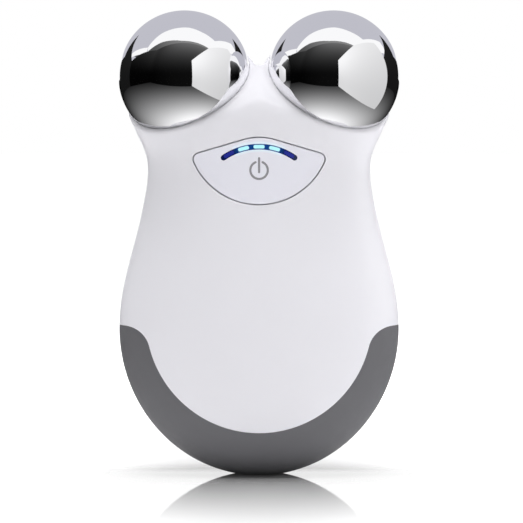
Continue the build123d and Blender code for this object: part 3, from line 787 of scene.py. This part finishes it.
def card_light(name):
    """Plain light from a card, its level eased along the axes of the room."""
    material = bare_material(name)
    tree = material.node_tree
    parts = parts_of(tree, place_of(tree))
    strength = product(tree, *(ease(tree, parts[axis], *values) for axis, *values in CARD_LIGHTS[name]))
    light = add_node(tree, "ShaderNodeEmission", {"Strength": strength})
    tree.links.new(light.outputs[0], tree.nodes["Material Output"].inputs["Surface"])
    return material


def card(name, light, *corners):
    """A studio card that only polished surfaces see."""
    bpy.ops.mesh.primitive_circle_add(vertices=len(corners), fill_type="NGON")
    piece = settle(name)
    for vertex, corner in zip(piece.data.vertices, corners):
        vertex.co = corner
    piece.data.materials.append(light)
    piece.visible_camera = False
    piece.visible_diffuse = False
    piece.visible_shadow = False
    piece.visible_transmission = False
    piece.visible_volume_scatter = False


def wall(name, light, start, end, heads):
    """An upright card between two places, each an azimuth and a distance; heads are its heights there."""
    feet = [Vector((reach * sin(radians(azimuth)), -reach * cos(radians(azimuth)), 0))
            for azimuth, reach in (start, end)]
    card(name, light, feet[0], feet[1], feet[1] + heads[1] * UP, feet[0] + heads[0] * UP)


def make_cards():
    """What the spheres mirror: an overhead softbox with wings, a side softbox, dark walls and black flags."""
    lights = {name: card_light(name) for name in CARD_LIGHTS}
    for name, light, *corners in OVERHEAD_CARDS:
        card(name, lights[light], *((x, y, CEILING) for x, y in corners))
    card("side_softbox", lights["side_white"], *SIDE_SOFTBOX)
    for name, light, start, end, heads in WALLS:
        wall(name, lights[light], start, end, heads)


def look_at(place, piece, direction, reach):
    """Puts a lamp or camera in a direction and at a reach from a place, looking back at it."""
    piece.location = place + reach * direction
    piece.rotation_euler = direction.to_track_quat("Z", "Y").to_euler()


def lamp(name, azimuth, lift, power):
    """A soft square lamp."""
    data = bpy.data.lights.new(name, "AREA")
    data.shape = "RECTANGLE"
    data.size = LAMP_SIZE
    data.size_y = LAMP_SIZE
    data.energy = power
    piece = bpy.data.objects.new(name, data)
    bpy.context.scene.collection.objects.link(piece)
    level = cos(radians(lift))
    direction = Vector((sin(radians(azimuth)) * level, -cos(radians(azimuth)) * level, sin(radians(lift))))
    look_at(LAMP_AIM, piece, direction, LAMP_DISTANCE)
    piece.visible_glossy = False
    piece.visible_camera = False


def make_camera():
    data = bpy.data.cameras.new("camera")
    data.sensor_width = SENSOR
    data.lens = SENSOR * CAMERA_DISTANCE / PICTURE_WIDTH
    data.clip_end = CAMERA_SIGHT
    camera = bpy.data.objects.new("camera", data)
    bpy.context.scene.collection.objects.link(camera)
    direction = Vector((0, -cos(CAMERA_LIFT), sin(CAMERA_LIFT)))
    look_at(CAMERA_AIM, camera, direction, CAMERA_DISTANCE)
    bpy.context.scene.camera = camera


def make_world():
    """White where the camera looks; polished surfaces see a grey dome over a white horizon."""
    world = bpy.data.worlds.new("studio")
    bpy.context.scene.world = world
    world.use_nodes = True
    tree = world.node_tree
    background = tree.nodes["Background"].inputs
    paths = add_node(tree, "ShaderNodeLightPath", {}).outputs
    glossy = paths["Is Glossy Ray"]
    direction = add_node(tree, "ShaderNodeTexCoord", {}).outputs["Generated"]
    rise = parts_of(tree, direction)[2]
    seen = calculate(tree, "MAXIMUM", paths["Is Camera Ray"], paths["Is Transmission Ray"])
    dome = product(tree, glossy, ease(tree, rise, *DOME_EDGE, 1.0, DOME_GREY))
    plain = product(tree, calculate(tree, "SUBTRACT", 1.0, glossy), AMBIENT)
    strength = calculate(tree, "MAXIMUM", seen, calculate(tree, "ADD", dome, plain))
    tree.links.new(strength, background["Strength"])
    tint = product(tree, glossy, ease(tree, rise, *DOME_EDGE))
    tree.links.new(blend(tree, tint, rgba(WHITE), rgba(DOME_TINT)), background["Color"])


def matt_floor(tree, place, away, camera):
    """The floor's own white, with light added so that it stays white where the camera sees it."""
    # painted shade: to all but the camera the floor is darker near the foot and throws less light up there
    tone = ease(tree, camera, 0.0, 1.0, ease(tree, away, *FLOOR_CONTACT_SHADE, *CONTACT_TONE), FLOOR_TONE)
    grey = add_node(tree, "ShaderNodeCombineColor", {0: tone, 1: tone, 2: tone}).outputs[0]
    matt = add_node(tree, "ShaderNodeBsdfDiffuse", {"Color": grey}).outputs[0]
    stretched = {0: place, 1: FLOOR_STRETCH}
    wide = add_node(tree, "ShaderNodeVectorMath", stretched, operation="MULTIPLY").outputs[0]
    spread = add_node(tree, "ShaderNodeVectorMath", {0: wide}, operation="LENGTH").outputs["Value"]
    seen = product(tree, camera, ease(tree, spread, *FLOOR_LIFT))
    near = ease(tree, away, *FLOOR_CONTACT_SHADE, *CONTACT_BOUNCE)
    thrown = product(tree, near, ease(tree, parts_of(tree, place)[1], *FLOOR_BOUNCE))
    bounce = product(tree, calculate(tree, "SUBTRACT", 1.0, camera), thrown)
    strength = calculate(tree, "ADD", seen, bounce)
    glow = add_node(tree, "ShaderNodeEmission", {"Strength": strength}).outputs[0]
    return add_node(tree, "ShaderNodeAddShader", {0: matt, 1: glow}).outputs[0]


def mirror_share(tree, place, camera_ray):
    """How much the camera sees mirrored: only in front of the foot and beside it, fading outwards."""
    parts = parts_of(tree, place)
    beside = calculate(tree, "ABSOLUTE", parts[0])
    share = product(tree, add_node(tree, "ShaderNodeFresnel", {"IOR": ACRYLIC_IOR}).outputs[0], camera_ray)
    fades = ((parts[1], -REFLECTION_REACH, 0.0, 0.0, REFLECTION_SHARE),
             (parts[1], 0.0, FOOT_REACH, 1.0, 0.0),
             (beside, FOOT_REACH, 2 * FOOT_REACH, 1.0, 0.0))
    return product(tree, share, *(ease(tree, *fade) for fade in fades))


def make_floor():
    """White acrylic: it stays white, keeps the contact shadow and mirrors the foot of the device."""
    bpy.ops.mesh.primitive_plane_add(size=2 * FLOOR_HALF, location=(0, 0, -FLOOR_DROP))
    floor = settle("floor")
    material = bare_material("white_acrylic")
    tree = material.node_tree
    place = place_of(tree)
    paths = add_node(tree, "ShaderNodeLightPath", {}).outputs
    away = add_node(tree, "ShaderNodeVectorMath", {0: place}, operation="LENGTH").outputs["Value"]
    camera = calculate(tree, "MAXIMUM", paths["Is Camera Ray"], paths["Is Transmission Ray"])
    white = matt_floor(tree, place, away, camera)
    polish = {"Color": rgba(WHITE), "Roughness": MIRROR_ROUGHNESS}
    mirror = add_node(tree, "ShaderNodeBsdfGlossy", polish).outputs[0]
    share = mirror_share(tree, place, paths["Is Camera Ray"])
    mixed = add_node(tree, "ShaderNodeMixShader", {0: share, 1: white, 2: mirror}).outputs[0]
    reach = calculate(tree, "DIVIDE", away, FLOOR_DIMMING)
    falloff = calculate(tree, "ADD", 1.0, product(tree, reach, reach))
    dimmed = calculate(tree, "DIVIDE", FLOOR_SHEEN, falloff)
    shaded = product(tree, dimmed, ease(tree, away, *FOOT_SHADE))
    mirrored = add_node(tree, "ShaderNodeEmission", {"Strength": shaded}).outputs[0]
    by_ray = {0: paths["Is Glossy Ray"], 1: mixed, 2: mirrored}
    shown = add_node(tree, "ShaderNodeMixShader", by_ray).outputs[0]
    tree.links.new(shown, tree.nodes["Material Output"].inputs["Surface"])
    floor.data.materials.append(material)


# ---- the device ------------------------------------------------------------------------------
finishes = make_finishes()
slot_of = {part["node"]: part["material_slot"] for part in frame["record"]["subparts"]}
for node, piece in frame["nodes"].items():
    dress(piece, finishes[slot_of[node]])

for piece, node in zip(make_casing(), ("front_shell", "rear_shell", "base_grip")):
    dress(piece, finishes[slot_of[node]])
    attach(piece, "housing")
    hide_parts(node)

for side, node in zip(SIDES, ("left_sphere", "right_sphere")):
    piece = make_sphere(side, node + "_polished")
    dress(piece, finishes[slot_of[node]])
    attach(piece, "housing")
    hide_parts(node)

# ---- the studio ------------------------------------------------------------------------------
make_camera()
make_world()
make_floor()
make_cards()
for lamp_facts in LAMPS:
    lamp(*lamp_facts)

bpy.context.scene.view_settings.view_transform = "Standard"
